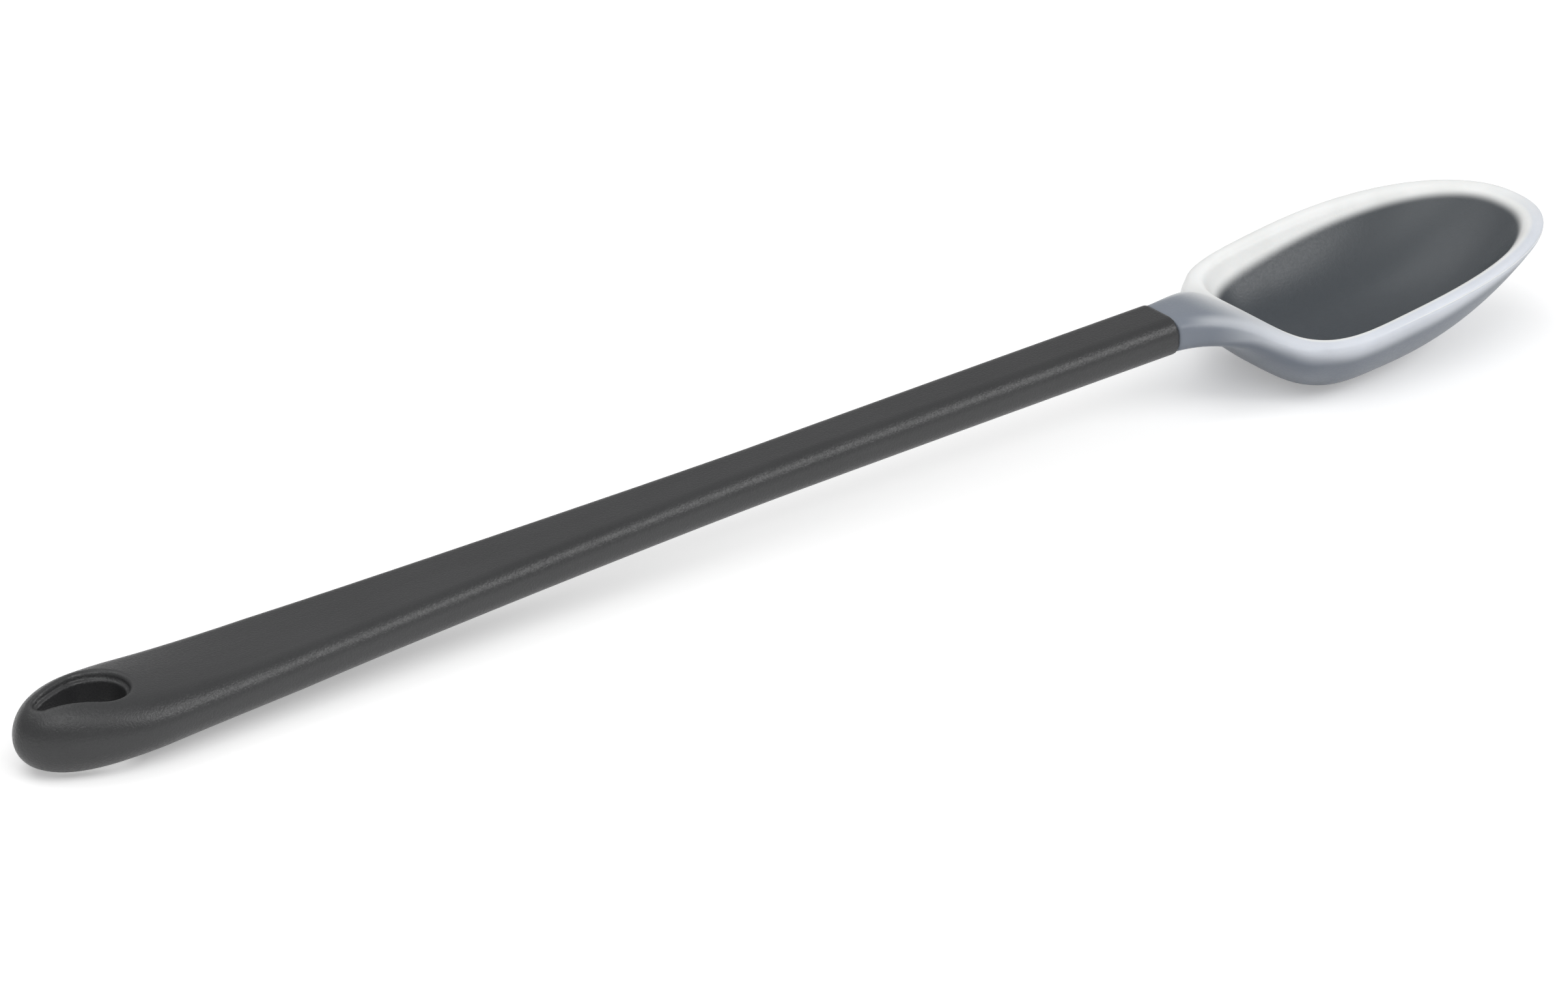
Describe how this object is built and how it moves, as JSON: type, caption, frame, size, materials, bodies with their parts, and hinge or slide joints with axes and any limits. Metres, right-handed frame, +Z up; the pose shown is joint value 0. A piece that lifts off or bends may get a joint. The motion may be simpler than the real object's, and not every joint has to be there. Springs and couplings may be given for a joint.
{
  "type": "cooking spoon",
  "caption": "Long slim cooking spoon with a soft translucent silicone bowl over a stiff core, and a straight moulded handle with a teardrop hanging hole.",
  "frame": {"origin": "on the table, halfway along the spoon's length and on its middle line", "axes": "+X from the end of the handle to the tip of the bowl, +Z up from the table, the spoon is the same on both sides of Y 0"},
  "size_m": [0.2499, 0.0368, 0.0158],
  "materials": {
    "handle_nylon": "dark grey moulded nylon with a fine grain",
    "core_nylon": "dark grey moulded nylon",
    "silicone": "satin translucent silicone, milky white where nothing dark lies behind it"
  },
  "bodies": {
    "root": {"handle": "handle_nylon", "core": "core_nylon", "silicone_head": "silicone"}
  },
  "joints": []
}
